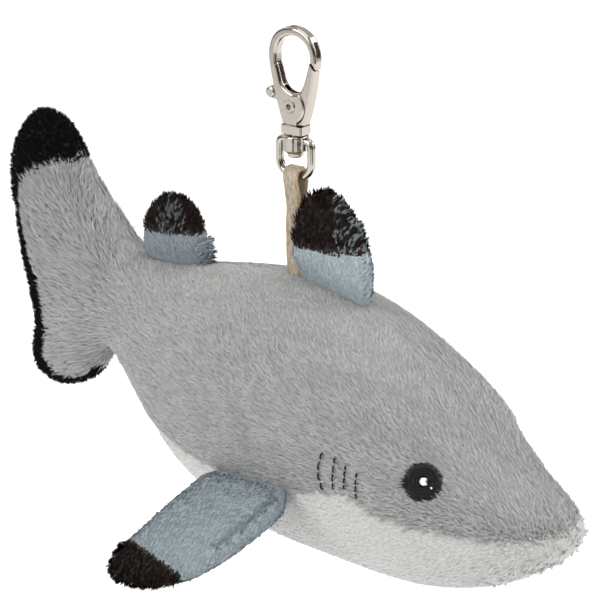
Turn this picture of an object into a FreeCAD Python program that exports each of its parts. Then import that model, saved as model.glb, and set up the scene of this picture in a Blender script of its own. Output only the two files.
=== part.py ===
"""Plush reef shark on a swivel clasp: every piece as its own solid, in millimetres.

+X points to the nose, +Y to the shark's left, +Z up.  The origin is the middle of the round seat at
the top of the clasp's hook, where the bar of a key ring or bag loop rests.  The shark hangs below it.
"""
import FreeCAD, Part
import math
import os

from FreeCAD import Placement, Rotation, Vector

os.makedirs("parts", exist_ok=True)

# ---------------------------------------------------------------- driving dimensions, mm
# clasp
SEAT_R = 5.2             # inner radius of the hook, where the bar rests
HOOK_T = 3.0             # thickness of the clasp casting
HOOK_EDGE = 0.75         # rounding of its edges
GATE_EDGE = 0.6
NOSE_IN_Z = -0.7         # the hook's nose ends in a slanted face from the seat side
NOSE_OUT = (6.9, -2.5)   # to this point, as x and z
CHEEK_GAP = 1.5          # slot in the casting that the gate lever turns in
WEB_T = 1.3              # thickness of the lever inside that slot
PIVOT = (-0.9, -12.7)    # x and z of the gate's pivot
PIVOT_R = 1.0            # radius of the pivot rivet's shank
TAB = (-7.35, -10.15)    # x and z of the middle of the thumb tab
TAB_R = 1.45
TAB_T = 2.3
PIVOT_HEAD_R = 1.75
PIVOT_HEAD_T = 0.3
PIVOT_BORE_R = 0.75      # the pivot rivet is hollow
RUNNING = 0.05           # radial clearance of a turning fit
SEATED = 0.02            # radial clearance of a fit that doesn't turn
CHEEK_R = 4.7            # the cheeks' round edge beside the gate, about the pivot
GATE_GAP = 0.2           # gap between the cheeks and the gate
COLLAR_TOP = -17.4
COLLAR_T = 2.1
COLLAR_W = 6.6
COLLAR_D = 4.4
SPRING_X = -2.9          # gate spring, on the floor of the slot
SPRING_R = 0.42
SPRING_WIRE = 0.3
SPRING_L = 2.1
# swivel
POST_R = 1.3
POST_HEAD_R = 2.05
POST_HEAD_T = 1.1
BOSS_R = 3.25
BOSS_BEVEL = 0.8         # slanted lower edge of the boss
BOSS_TOP = -19.9
BOSS_H = 4.5
RING_HALF = 4.9          # half width of the ring between the centres of its legs
RING_WIRE_R = 1.05
RING_TOP = -21.3         # centre of the ring's upper bar
RING_BAR = -30.4         # centre of the ring's lower bar, where the tape hangs
RING_CORNER = 3.7
RING_SHOULDER = 1.5
# tape
TAPE_W = 4.5
TAPE_T = 1.2
TAPE_EYE_R = 1.5         # inside of the fold that holds the ring's bar
TAPE_SLIT = 0.3          # gap between the two strands
TAPE_END = -55.4         # where the tape goes into the back seam
# soft parts
FABRIC = 1.5             # plush backing with the root of its pile
FILL_GAP = 0.3           # between a cover and its filling
SEAM_Z = -101.2          # height of the seam between back and belly, away from its hump
TAIL_HINGE_X = -52.5     # where the tail bends
TAIL_HINGE_R = 8.6
HINGE_GAP = 0.4
TAIL_TIP = (-78.0, -40.5)        # x and z on the line above which the tail is black
TAIL_TIP_SLOPE = 0.7             # how far that line falls per mm towards the rear
TAIL_BAND = 4.0          # width of the black band along the tail's trailing edge
EYE_X = 54.6
EYE_Z = -92.0
EYE_R = 4.7
EYE_T = 0.8
GLINT_R = 0.75
GILL_X = (31.0, 34.9, 38.0, 41.2)        # four rows of gill stitches
GILL_TOP = (-88.0, -88.8, -90.2, -91.4)
GILL_END = (-96.6, -96.2, -95.4, -96.8)
GILL_WIRE = 0.5

# Trunk: x, half width, crest z, belly z of the fabric.  The widest level is a little below half height.
WIDEST = 0.47
TRUNK = [
    (-66.5, 4.2, -59.4, -81.0),
    (-58.5, 6.6, -60.4, -86.0),
    (-49.5, 10.0, -60.6, -95.4),
    (-38.5, 15.5, -60.6, -105.2),
    (-26.5, 21.0, -59.9, -112.7),
    (-12.5, 26.0, -57.9, -118.2),
    (3.5, 29.4, -56.4, -121.7),
    (21.5, 30.4, -61.4, -123.2),
    (39.5, 28.9, -70.6, -124.2),
    (55.5, 25.3, -84.1, -123.2),
    (69.5, 19.3, -96.1, -119.0),
    (79.5, 12.3, -101.6, -113.2),
    (85.5, 5.6, -103.7, -109.0),
    (87.8, 1.6, -105.0, -107.2),
]
# Tail: the same four values, from inside the trunk's end to the trailing edge.
TAIL = [
    (-43.0, 13.2, -60.6, -101.0),
    (-49.5, 10.0, -60.6, -95.4),
    (-55.0, 7.6, -57.6, -90.0),
    (-61.0, 6.2, -50.0, -91.0),
    (-67.0, 5.4, -41.5, -96.6),
    (-73.0, 4.9, -33.0, -99.3),
    (-79.0, 4.5, -28.3, -100.2),
    (-85.0, 3.9, -30.0, -97.5),
    (-89.5, 3.0, -35.4, -88.0),
    (-93.0, 2.0, -41.5, -66.0),
    (-94.6, 1.0, -46.0, -54.0),
]
# Pectoral fin: distance out from the hinge, middle of the chord, half chord, half thickness.
PECTORAL = [
    (0.0, 0.0, 13.4, 1.5),
    (4.0, 0.0, 13.4, 3.0),
    (13.0, -0.2, 13.0, 4.2),
    (25.0, -0.4, 12.6, 4.0),
    (33.0, -0.8, 11.8, 3.4),
    (38.5, -1.6, 9.6, 2.5),
    (41.5, -2.4, 6.2, 1.3),
]
PECTORAL_REAR = Vector(-6.5, -28.1, -101.9)     # ends of the right fin's root line
PECTORAL_FRONT = Vector(21.5, -32.0, -100.4)
PECTORAL_OUT = Vector(-8.0, -39.3, -14.6)       # the way the right fin points
# Dorsal fins: height above the hinge, middle of the chord, half chord, half thickness.
FIRST_DORSAL = [
    (0.0, 1.6, 10.7, 1.4),
    (3.5, 1.2, 10.7, 3.4),
    (9.0, 0.6, 10.0, 4.0),
    (14.0, -0.9, 8.6, 3.7),
    (18.5, -2.6, 6.3, 2.9),
    (21.5, -3.6, 3.0, 1.4),
]
FIRST_DORSAL_ROOT = Vector(12.0, 0, -56.4)
FIRST_DORSAL_SLOPE = 11.4                       # degrees that its root falls towards the nose
SECOND_DORSAL = [
    (0.0, 2.3, 7.7, 1.4),
    (3.0, 1.6, 8.6, 3.0),
    (7.0, 0.7, 8.7, 3.6),
    (10.5, 0.0, 7.5, 3.1),
    (13.6, 0.0, 4.0, 1.6),
]
SECOND_DORSAL_ROOT = Vector(-38.7, 0, -58.6)
POINTS_ROUND = 20        # points round one cross-section


# ---------------------------------------------------------------- helpers
def save(node, shape):
    """Write one named piece, as one solid or a group of separate solids."""
    solids = shape.Solids
    if not solids:
        raise RuntimeError(node + " has no solid")
    whole = solids[0] if len(solids) == 1 else Part.makeCompound(solids)
    whole.exportStep("parts/%s.step" % node)
    box = whole.BoundBox
    print("%-28s %d solid(s) %9.1f mm3  x %.1f..%.1f y %.1f..%.1f z %.1f..%.1f valid %s" % (
        node, len(solids), whole.Volume, box.XMin, box.XMax, box.YMin, box.YMax, box.ZMin, box.ZMax,
        whole.isValid()))


def flat_face(points_xz, y):
    """A face in the XZ plane at y, from a closed list of points joined by straight edges."""
    corners = [Vector(x, y, z) for x, z in points_xz]
    return Part.Face(Part.makePolygon(corners + corners[:1]))


def plate(points_xz, thickness):
    """A plate of that outline, centred on the plane of symmetry."""
    return flat_face(points_xz, -thickness / 2).extrude(Vector(0, thickness, 0))


def rod_y(x, z, radius, length):
    """A cylinder across the object, centred on the plane of symmetry."""
    return Part.makeCylinder(radius, length, Vector(x, -length / 2, z), Vector(0, 1, 0))


def rod_z(radius, low, high, x=0.0):
    return Part.makeCylinder(radius, high - low, Vector(x, 0, low), Vector(0, 0, 1))


def half_space(point, outward):
    """A large block on the far side of a plane, to cut with."""
    size = 400
    turn = Rotation(Vector(0, 0, 1), outward)
    block = Part.makeBox(size, size, size, Vector(-size / 2, -size / 2, 0))
    block.Placement = Placement(point, turn)
    return block


def ring_wire(origin, along, across, up, station):
    """One closed oval of a soft body: station is distance, middle, half width, rise, fall."""
    distance, middle, half, rise, fall = station
    centre = origin + along * distance + across * middle
    points = []
    for i in range(POINTS_ROUND):
        angle = 2 * math.pi * i / POINTS_ROUND
        height = math.sin(angle)
        height *= rise if height > 0 else fall
        points.append(centre + across * (half * math.cos(angle)) + up * height)
    curve = Part.BSplineCurve()
    curve.interpolate(Points=points, PeriodicFlag=True)
    return Part.Wire([curve.toShape()])


def soft_loft(origin, along, across, up, stations):
    """A closed soft solid through its ovals."""
    wires = [ring_wire(origin, along, across, up, s) for s in stations]
    return Part.makeLoft(wires, True, False)


def body_stations(table, inset):
    """Ovals of the trunk or tail, drawn in by inset all round."""
    stations = []
    for x, half, crest, belly in table:
        middle = belly + WIDEST * (crest - belly)
        if half - inset < 0.9 or crest - middle - inset < 0.9:
            continue
        stations.append((x, half - inset, middle, crest - middle - inset, middle - belly - inset))
    return stations


def body_loft(table, inset):
    """The trunk or tail as a solid, drawn in by inset."""
    wires = []
    for x, half, middle, rise, fall in body_stations(table, inset):
        origin = Vector(x, 0, middle)
        wires.append(ring_wire(origin, Vector(1, 0, 0), Vector(0, 1, 0), Vector(0, 0, 1),
                               (0, 0, half, rise, fall)))
    return Part.makeLoft(wires, True, False)


def fin_loft(frame, table, inset):
    """A fin as a solid, drawn in by inset; the root and tip are drawn in along the fin."""
    origin, along, across, up = frame
    stations = []
    for distance, middle, half, thick in table:
        if thick - inset < 0.5:
            continue
        stations.append((distance, middle, half - inset, thick - inset, thick - inset))
    return soft_loft(origin, along, across, up, stations)


def mirrored(shape):
    """The same shape on the shark's other side."""
    return shape.mirror(Vector(0, 0, 0), Vector(0, 1, 0))


# ---------------------------------------------------------------- clasp
def xz_spline(points, start=None, end=None):
    """A smooth curve through points given as x and z, with its end directions if they matter."""
    curve = Part.BSplineCurve()
    places = [Vector(x, 0, z) for x, z in points]
    if start is None:
        curve.interpolate(Points=places)
    else:
        curve.interpolate(Points=places, InitialTangent=start, FinalTangent=end)
    return curve


def about_pivot(radius, degrees):
    """A point on a circle about the gate's pivot, as x and z."""
    angle = math.radians(degrees)
    return (PIVOT[0] + radius * math.cos(angle), PIVOT[1] + radius * math.sin(angle))


def hook_outline():
    """The casting seen from the side, from the nose over the top, down to the collar and back."""
    r = SEAT_R
    nose_in = Vector(r, 0, NOSE_IN_Z)
    outer = xz_spline([NOSE_OUT, (7.1, 1.0), (4.9, 5.5), (-0.3, 7.4), (-5.5, 5.3), (-7.6, 0.2), (-6.9, -5.0),
                       (-5.4, -11.0), (-3.3, COLLAR_TOP)])
    cheek = [about_pivot(CHEEK_R, a) for a in (-62, 0, 52)]
    cheek_low, cheek_mid, cheek_high = [Vector(x, 0, z) for x, z in cheek]
    foot_left = Vector(-3.3, 0, COLLAR_TOP)
    foot_right = Vector(1.2, 0, COLLAR_TOP)
    inner = xz_spline([cheek[2], (-0.6, -9.2), (-2.6, -8.2), (-4.0, -5.6), (-4.95, -2.6), (-r, 0)],
                      Vector(-1, 0, -0.2), Vector(0, 0, 1))
    edges = [
        Part.LineSegment(nose_in, Vector(NOSE_OUT[0], 0, NOSE_OUT[1])),
        outer,
        Part.LineSegment(foot_left, foot_right),
        Part.LineSegment(foot_right, cheek_low),
        Part.Arc(cheek_low, cheek_mid, cheek_high),
        inner,
        Part.Arc(Vector(-r, 0, 0), Vector(0, 0, r), Vector(r, 0, 0)),
        Part.LineSegment(Vector(r, 0, 0), nose_in),
    ]
    return Part.Wire([e.toShape() for e in edges])


def flat_side_edges(shape, thickness):
    """The edges round the two flat faces of a plate."""
    return [e for e in shape.Edges
            if e.BoundBox.YLength < 1e-6 and abs(abs(e.BoundBox.YMin) - thickness / 2) < 1e-6]


def hook_body():
    """Hook, cheeks and collar in one casting, slotted for the lever and bored for both rivets."""
    wire = hook_outline()
    wire.translate(Vector(0, -HOOK_T / 2, 0))
    body = Part.Face(wire).extrude(Vector(0, HOOK_T, 0))
    rounded = [e for e in flat_side_edges(body, HOOK_T) if e.BoundBox.ZMax > COLLAR_TOP + 1]
    body = body.makeFillet(HOOK_EDGE, rounded)
    collar = Part.makeBox(COLLAR_W, COLLAR_D, COLLAR_T,
                          Vector(-COLLAR_W / 2, -COLLAR_D / 2, COLLAR_TOP - COLLAR_T))
    upright = [e for e in collar.Edges if e.BoundBox.ZLength > COLLAR_T - 0.01]
    body = body.fuse(collar.makeFillet(0.8, upright)).removeSplitter()
    slot = Part.makeBox(20, CHEEK_GAP, 9.3, Vector(-14, -CHEEK_GAP / 2, COLLAR_TOP + 0.4))
    body = body.cut(slot)
    body = body.cut(rod_y(PIVOT[0], PIVOT[1], PIVOT_R + SEATED, HOOK_T + 2))
    bore = rod_z(POST_R + SEATED, COLLAR_TOP - COLLAR_T - 1, COLLAR_TOP - 0.4)
    return body.cut(bore)


def gate_bar():
    """The part of the lever that closes the hook, as thick as the casting."""
    clear_r = CHEEK_R + GATE_GAP
    low, middle, high = [Vector(x, 0, z) for x, z in (about_pivot(clear_r, a) for a in (-58, 0, 52))]
    foot = Vector(3.6, 0, low.z)
    nose_slope = (NOSE_OUT[1] - NOSE_IN_Z) / (NOSE_OUT[0] - SEAT_R)
    top_in = Vector(5.0, 0, NOSE_IN_Z - GATE_GAP * 1.5)
    top_out = Vector(6.7, 0, top_in.z + 1.7 * nose_slope)
    inner = xz_spline([(high.x, high.z), (3.3, -6.6), (4.3, -3.6), (top_in.x, top_in.z)])
    outer = xz_spline([(top_out.x, top_out.z), (6.1, -7.2), (5.2, -11.6), (foot.x, foot.z)])
    edges = [Part.Arc(low, middle, high), inner, Part.LineSegment(top_in, top_out), outer,
             Part.LineSegment(foot, low)]
    thickness = HOOK_T - 0.1
    wire = Part.Wire([e.toShape() for e in edges])
    wire.translate(Vector(0, -thickness / 2, 0))
    bar = Part.Face(wire).extrude(Vector(0, thickness, 0))
    rounded = [e for e in flat_side_edges(bar, thickness)
               if e.BoundBox.ZLength > 5 and e.BoundBox.XMax > top_in.x - 0.1]
    return bar.makeFillet(GATE_EDGE, rounded)


def gate_lever():
    """Gate bar, thin web in the slot, and thumb tab, in one piece."""
    bar = gate_bar()
    hub = rod_y(PIVOT[0], PIVOT[1], 2.3, WEB_T)
    web = plate([about_pivot(2.2, -62), about_pivot(CHEEK_R + 0.8, -34), about_pivot(CHEEK_R + 0.8, 34),
                 about_pivot(2.2, 62)], WEB_T)
    arm = plate([(PIVOT[0], PIVOT[1] + 2.25), (-4.0, -8.7), (TAB[0], -8.7), (TAB[0], -11.6), (-3.9, -11.9),
                 (-3.6, -14.2), (PIVOT[0], -14.9)], WEB_T)
    tab = rod_y(TAB[0], TAB[1], TAB_R, TAB_T)
    tab = tab.makeFillet(0.6, [e for e in tab.Edges if e.BoundBox.YLength < 1e-6])
    lever = bar.fuse([hub, web, arm, tab]).removeSplitter()
    return lever.cut(rod_y(PIVOT[0], PIVOT[1], PIVOT_R + RUNNING, HOOK_T))


def pivot_rivet():
    """Hollow rivet with a thin head on each cheek."""
    x, z = PIVOT
    rivet = rod_y(x, z, PIVOT_R, HOOK_T)
    for side in (-1, 1):
        start = Vector(x, side * HOOK_T / 2, z)
        head = Part.makeCylinder(PIVOT_HEAD_R, PIVOT_HEAD_T, start, Vector(0, side, 0))
        outer_rim = [e for e in head.Edges
                     if abs(e.BoundBox.YMin - side * (HOOK_T / 2 + PIVOT_HEAD_T)) < 1e-6]
        rivet = rivet.fuse(head.makeChamfer(PIVOT_HEAD_T * 0.6, outer_rim))
    return rivet.cut(rod_y(x, z, PIVOT_BORE_R, HOOK_T + 2)).removeSplitter()


def gate_spring():
    """Small compression coil that pushes the lever's heel up."""
    pitch = (SPRING_L - SPRING_WIRE) / 4
    helix = Part.makeHelix(pitch, SPRING_L - SPRING_WIRE, SPRING_R)
    section = Part.Wire([Part.makeCircle(SPRING_WIRE / 2, Vector(SPRING_R, 0, 0), Vector(0, 1, 0))])
    coil = Part.Wire(helix.Edges).makePipeShell([section], True, True)
    coil.translate(Vector(SPRING_X, 0, COLLAR_TOP + 0.4 + SPRING_WIRE / 2 + 0.05))
    return coil


def swivel_rivet():
    """Post that hangs from the collar, with the head that carries the ring."""
    head_top = BOSS_TOP - BOSS_H - 0.1
    post = rod_z(POST_R, head_top, COLLAR_TOP - 0.45)
    head = rod_z(POST_HEAD_R, head_top - POST_HEAD_T, head_top)
    low_rim = [e for e in head.Edges if e.BoundBox.ZMax < head_top - POST_HEAD_T + 1e-6]
    return post.fuse(head.makeFillet(0.7, low_rim)).removeSplitter()


def ring_path():
    """Centre line of the ring's wire: a rounded D, closed through the boss."""
    h, c, s = RING_HALF, RING_CORNER, RING_SHOULDER
    k = math.sqrt(0.5)

    def corner(cx, cz, radius, sx, sz):
        first = Vector(cx + sx * radius, 0, cz)
        middle = Vector(cx + sx * radius * k, 0, cz + sz * radius * k)
        last = Vector(cx, 0, cz + sz * radius)
        return first, middle, last

    a1, a2, a3 = corner(h - s, RING_TOP - s, s, 1, 1)
    b1, b2, b3 = corner(h - c, RING_BAR + c, c, 1, -1)
    c1, c2, c3 = corner(-(h - c), RING_BAR + c, c, -1, -1)
    d1, d2, d3 = corner(-(h - s), RING_TOP - s, s, -1, 1)
    start = Vector(0, 0, RING_TOP)
    edges = [
        Part.LineSegment(start, a3), Part.Arc(a3, a2, a1), Part.LineSegment(a1, b1), Part.Arc(b1, b2, b3),
        Part.LineSegment(b3, c3), Part.Arc(c3, c2, c1), Part.LineSegment(c1, d1), Part.Arc(d1, d2, d3),
        Part.LineSegment(d3, start),
    ]
    return Part.Wire([e.toShape() for e in edges])


def swivel_ring():
    """Ring and boss in one casting, bored for the post."""
    section = Part.Wire([Part.makeCircle(RING_WIRE_R, Vector(0, 0, RING_TOP), Vector(1, 0, 0))])
    wire = ring_path().makePipeShell([section], True, False)
    boss = rod_z(BOSS_R, BOSS_TOP - BOSS_H, BOSS_TOP)
    boss = boss.makeFillet(0.5, [e for e in boss.Edges if e.BoundBox.ZMin > BOSS_TOP - 1e-6])
    boss = boss.makeChamfer(BOSS_BEVEL, [e for e in boss.Edges if e.BoundBox.ZMax < BOSS_TOP - BOSS_H + 1e-6])
    ring = wire.fuse(boss).removeSplitter()
    return ring.cut(rod_z(POST_R + RUNNING, BOSS_TOP - BOSS_H - 2, BOSS_TOP + 2))


# ---------------------------------------------------------------- tape
def strap_tape():
    """Cotton tape folded over the ring's bar, its two strands lying together down to the back."""
    eye_z = RING_BAR - 0.2
    outer = TAPE_EYE_R + TAPE_T
    leg = TAPE_SLIT / 2 + TAPE_T
    neck_z = eye_z - 6.5
    end = TAPE_END + leg

    def p(y, z):
        return Vector(-TAPE_W / 2, y, z)

    outline = [
        Part.Arc(p(-outer, eye_z), p(0, eye_z + outer), p(outer, eye_z)),
        Part.LineSegment(p(outer, eye_z), p(leg, neck_z)),
        Part.LineSegment(p(leg, neck_z), p(leg, end)),
        Part.Arc(p(leg, end), p(0, end - leg), p(-leg, end)),
        Part.LineSegment(p(-leg, end), p(-leg, neck_z)),
        Part.LineSegment(p(-leg, neck_z), p(-outer, eye_z)),
    ]
    tape = Part.Face(Part.Wire([e.toShape() for e in outline])).extrude(Vector(TAPE_W, 0, 0))
    half = TAPE_SLIT / 2
    slit_end = end + 2.0
    hollow = [
        Part.Arc(p(-TAPE_EYE_R, eye_z), p(0, eye_z + TAPE_EYE_R), p(TAPE_EYE_R, eye_z)),
        Part.LineSegment(p(TAPE_EYE_R, eye_z), p(half, neck_z)),
        Part.LineSegment(p(half, neck_z), p(half, slit_end)),
        Part.LineSegment(p(half, slit_end), p(-half, slit_end)),
        Part.LineSegment(p(-half, slit_end), p(-half, neck_z)),
        Part.LineSegment(p(-half, neck_z), p(-TAPE_EYE_R, eye_z)),
    ]
    inside = Part.Face(Part.Wire([e.toShape() for e in hollow])).extrude(Vector(TAPE_W, 0, 0))
    return tape.cut(inside)


# ---------------------------------------------------------------- trunk and tail
def tail_cut_from_trunk():
    """What the tail's round end and its swing need free: a cylinder and all behind its middle."""
    socket = rod_z(TAIL_HINGE_R + HINGE_GAP, -140, -20, TAIL_HINGE_X)
    behind = half_space(Vector(TAIL_HINGE_X + TAIL_HINGE_R * 0.5, 0, 0), Vector(-1, 0, 0))
    return socket.fuse(behind)


def tail_envelope():
    """The tail keeps what lies behind its hinge, and a round end in front of it."""
    behind = half_space(Vector(TAIL_HINGE_X, 0, 0), Vector(-1, 0, 0))
    return behind.fuse(rod_z(TAIL_HINGE_R, -140, -20, TAIL_HINGE_X))


def belly_side():
    """A block below the seam between back and belly, which rises in a hump behind the jaw."""
    points = [(-100, SEAM_Z + 0.8), (-60, SEAM_Z + 0.8), (-30, SEAM_Z + 0.4), (0, SEAM_Z - 0.4),
              (20, SEAM_Z - 0.4), (30, SEAM_Z + 3.0), (38, SEAM_Z + 4.0), (46, SEAM_Z + 0.8),
              (58, SEAM_Z - 0.5), (70, SEAM_Z - 2.1), (78, SEAM_Z - 2.5), (86, SEAM_Z - 2.2),
              (100, SEAM_Z - 2.2)]
    curve = Part.BSplineCurve()
    curve.interpolate([Vector(x, -60, z) for x, z in points])
    first, last = points[0], points[-1]
    low = -160
    sides = [
        Part.LineSegment(Vector(last[0], -60, last[1]), Vector(last[0], -60, low)),
        Part.LineSegment(Vector(last[0], -60, low), Vector(first[0], -60, low)),
        Part.LineSegment(Vector(first[0], -60, low), Vector(first[0], -60, first[1])),
    ]
    wire = Part.Wire([curve.toShape()] + [s.toShape() for s in sides])
    return Part.Face(wire).extrude(Vector(0, 120, 0))


def trunk_pieces():
    """Two grey side panels, the white belly panel and the filling."""
    away = tail_cut_from_trunk()
    skin = body_loft(TRUNK, 0).cut(body_loft(TRUNK, FABRIC)).cut(away)
    below = belly_side()
    upper = skin.cut(below)
    left_half = half_space(Vector(0, 0, 0), Vector(0, 1, 0))
    right_half = half_space(Vector(0, 0, 0), Vector(0, -1, 0))
    return {
        "side_panel_right": upper.common(right_half),
        "side_panel_left": upper.common(left_half),
        "belly_panel": skin.common(below),
        "body_filling": body_loft(TRUNK, FABRIC + FILL_GAP).cut(away),
    }


def main_solid(shape):
    """The largest solid of a cut, without the slivers that a curved seam leaves beside it."""
    return max(shape.Solids, key=lambda solid: solid.Volume)


def edge_band_side():
    """A block behind a line that follows the tail's trailing edge and turns in under its lower lobe."""
    b = TAIL_BAND
    points = [(-94.5 + b, -20), (-94.5 + b, -50), (-92.0 + b, -64), (-88.5 + b, -78), (-87.0 + b, -88),
              (-82.5, -95.2), (-74.0, -96.6), (-68.5, -94.0), (-64.5, -88.5), (-64.5, -120), (-120, -120),
              (-120, -20)]
    return flat_face(points, -30).extrude(Vector(0, 60, 0))


def tail_pieces():
    """Two grey panels, the black tip cap and edge band, and the filling."""
    envelope = tail_envelope()
    skin = body_loft(TAIL, 0).cut(body_loft(TAIL, FABRIC)).common(envelope)
    above = half_space(Vector(TAIL_TIP[0], 0, TAIL_TIP[1]), Vector(-TAIL_TIP_SLOPE, 0, 1))
    tip = skin.common(above)
    rest = skin.cut(above)
    band_block = edge_band_side()
    grey = rest.cut(band_block)
    return {
        "tail_tip_cap": tip,
        "tail_edge_band": rest.common(band_block),
        "tail_panel_right": main_solid(grey.common(half_space(Vector(0, 0, 0), Vector(0, -1, 0)))),
        "tail_panel_left": main_solid(grey.common(half_space(Vector(0, 0, 0), Vector(0, 1, 0)))),
        "tail_filling": body_loft(TAIL, FABRIC + FILL_GAP).common(envelope),
    }


# ---------------------------------------------------------------- fins
def fin_pieces(frame, table, names):
    """Two panels that meet at the fin's rim, and the filling between them."""
    origin, up = frame[0], frame[3]
    skin = fin_loft(frame, table, 0).cut(fin_loft(frame, table, FABRIC))
    first = skin.common(half_space(origin, up))
    second = skin.common(half_space(origin, up * -1))
    return dict(zip(names, (first, second, fin_loft(frame, table, FABRIC + FILL_GAP))))


def pectoral_frame():
    """Root middle, outward, forward along the root, and up off the right fin."""
    chord = (PECTORAL_FRONT - PECTORAL_REAR).normalize()
    out = Vector(PECTORAL_OUT)
    out = (out - chord * out.dot(chord)).normalize()
    up = out.cross(chord) * -1
    return (PECTORAL_REAR + PECTORAL_FRONT) * 0.5, out, chord, up


def pectoral_pieces():
    names = ("pectoral_upper_right", "pectoral_lower_right", "pectoral_filling_right")
    right = fin_pieces(pectoral_frame(), PECTORAL, names)
    left = {name.replace("right", "left"): mirrored(shape) for name, shape in right.items()}
    right.update(left)
    return right


def dorsal_pieces(root, slope, table, label):
    """A dorsal fin stands on the back seam; slope is its root's fall towards the nose."""
    angle = math.radians(slope)
    forward = Vector(math.cos(angle), 0, -math.sin(angle))
    upward = Vector(math.sin(angle), 0, math.cos(angle))
    frame = (root, upward, forward, Vector(0, 1, 0))
    names = (label + "_left_panel", label + "_right_panel", label + "_filling")
    return fin_pieces(frame, table, names)


# ---------------------------------------------------------------- face
def trunk_value(x, column):
    """A trunk value at x, by straight lines between the stations."""
    for low, high in zip(TRUNK, TRUNK[1:]):
        if low[0] <= x <= high[0]:
            share = (x - low[0]) / (high[0] - low[0])
            return low[column] + share * (high[column] - low[column])
    raise ValueError("x is off the trunk")


def trunk_side(x, z):
    """Half width of the trunk at x and height z."""
    half = trunk_value(x, 1)
    crest = trunk_value(x, 2)
    belly = trunk_value(x, 3)
    middle = belly + WIDEST * (crest - belly)
    reach = (crest - middle) if z > middle else (middle - belly)
    return half * math.sqrt(max(0.0, 1 - ((z - middle) / reach) ** 2))


def side_normal(x, z):
    """Outward direction of the right side of the trunk."""
    step = 0.5
    slope_x = (trunk_side(x + step, z) - trunk_side(x - step, z)) / (2 * step)
    slope_z = (trunk_side(x, z + step) - trunk_side(x, z - step)) / (2 * step)
    return Vector(-slope_x, -1, -slope_z).normalize()


def trunk_points(points):
    """Places on the right side of the trunk."""
    return [Vector(x, -trunk_side(x, z), z) for x, z in points]


def eye_pieces():
    """Embroidered disc and its white glint on the right side."""
    out = side_normal(EYE_X, EYE_Z)
    centre = Vector(EYE_X, -trunk_side(EYE_X, EYE_Z), EYE_Z)
    disc = Part.makeCylinder(EYE_R, EYE_T, centre + out * 0.9, out)
    rim = [e for e in disc.Edges if e.Length > EYE_R * 6]
    disc = disc.makeFillet(0.25, rim)
    top = centre + out * (0.9 + EYE_T + 0.02)
    glint = Part.makeCylinder(GLINT_R, 0.3, top, out)
    side = out.cross(Vector(0, 0, 1)).normalize()
    below = side.cross(out)
    small = Part.makeCylinder(GLINT_R * 0.55, 0.3, top - side * 1.7 - below * 1.7, out)
    return disc, Part.makeCompound([glint, small])


def gill_stitches():
    """Four rows of three short stitches on the right side."""
    stitches = []
    for x, top, end in zip(GILL_X, GILL_TOP, GILL_END):
        length = (top - end) / 3
        for i in range(3):
            high = top - i * length
            low = high - length * 0.7
            ends = trunk_points([(x, high), (x, low)])
            lift = side_normal(x, (high + low) / 2) * (GILL_WIRE / 2 + 0.5)
            run = ends[1] - ends[0]
            stitches.append(Part.makeCylinder(GILL_WIRE / 2, run.Length, ends[0] + lift, run))
    return Part.makeCompound(stitches)


def face_pieces():
    disc, glints = eye_pieces()
    gills = gill_stitches()
    pieces = {"eye_right": disc, "eye_glint_right": glints, "gill_stitches_right": gills}
    left = {name.replace("right", "left"): mirrored(shape) for name, shape in pieces.items()}
    pieces.update(left)
    return pieces


# ---------------------------------------------------------------- whole shark
def all_pieces():
    pieces = {
        "hook_body": hook_body(),
        "gate_lever": gate_lever(),
        "gate_pivot_rivet": pivot_rivet(),
        "gate_spring": gate_spring(),
        "swivel_rivet": swivel_rivet(),
        "swivel_ring": swivel_ring(),
        "strap_tape": strap_tape(),
    }
    pieces.update(trunk_pieces())
    pieces.update(tail_pieces())
    pieces.update(pectoral_pieces())
    pieces.update(dorsal_pieces(FIRST_DORSAL_ROOT, FIRST_DORSAL_SLOPE, FIRST_DORSAL, "first_dorsal"))
    pieces.update(dorsal_pieces(SECOND_DORSAL_ROOT, 0.0, SECOND_DORSAL, "second_dorsal"))
    pieces.update(face_pieces())
    return pieces


for piece_name, piece_shape in all_pieces().items():
    save(piece_name, piece_shape)
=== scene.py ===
import math

import bpy
import numpy as np
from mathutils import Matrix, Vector
from mathutils.bvhtree import BVHTree


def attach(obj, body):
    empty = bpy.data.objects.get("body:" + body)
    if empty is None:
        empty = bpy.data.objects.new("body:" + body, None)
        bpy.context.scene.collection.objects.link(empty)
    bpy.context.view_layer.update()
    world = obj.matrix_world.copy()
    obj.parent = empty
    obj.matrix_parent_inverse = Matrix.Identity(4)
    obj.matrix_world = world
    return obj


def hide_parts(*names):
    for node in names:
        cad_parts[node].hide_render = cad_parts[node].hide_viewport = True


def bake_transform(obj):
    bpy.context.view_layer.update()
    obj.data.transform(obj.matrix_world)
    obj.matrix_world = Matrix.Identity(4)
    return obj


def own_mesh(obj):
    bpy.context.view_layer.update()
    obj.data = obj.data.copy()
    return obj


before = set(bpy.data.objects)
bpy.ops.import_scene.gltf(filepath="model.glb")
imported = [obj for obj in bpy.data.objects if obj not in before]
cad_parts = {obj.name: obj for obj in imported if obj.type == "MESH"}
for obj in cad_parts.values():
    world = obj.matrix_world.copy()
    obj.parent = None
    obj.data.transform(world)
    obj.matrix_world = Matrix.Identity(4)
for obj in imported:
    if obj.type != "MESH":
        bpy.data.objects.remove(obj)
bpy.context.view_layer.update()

MM = 0.001
rng = np.random.default_rng(11)

# ---------------- sizes, shared with the CAD part
WIDEST = 0.47            # height of the trunk's widest level, as a share of its depth
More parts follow.
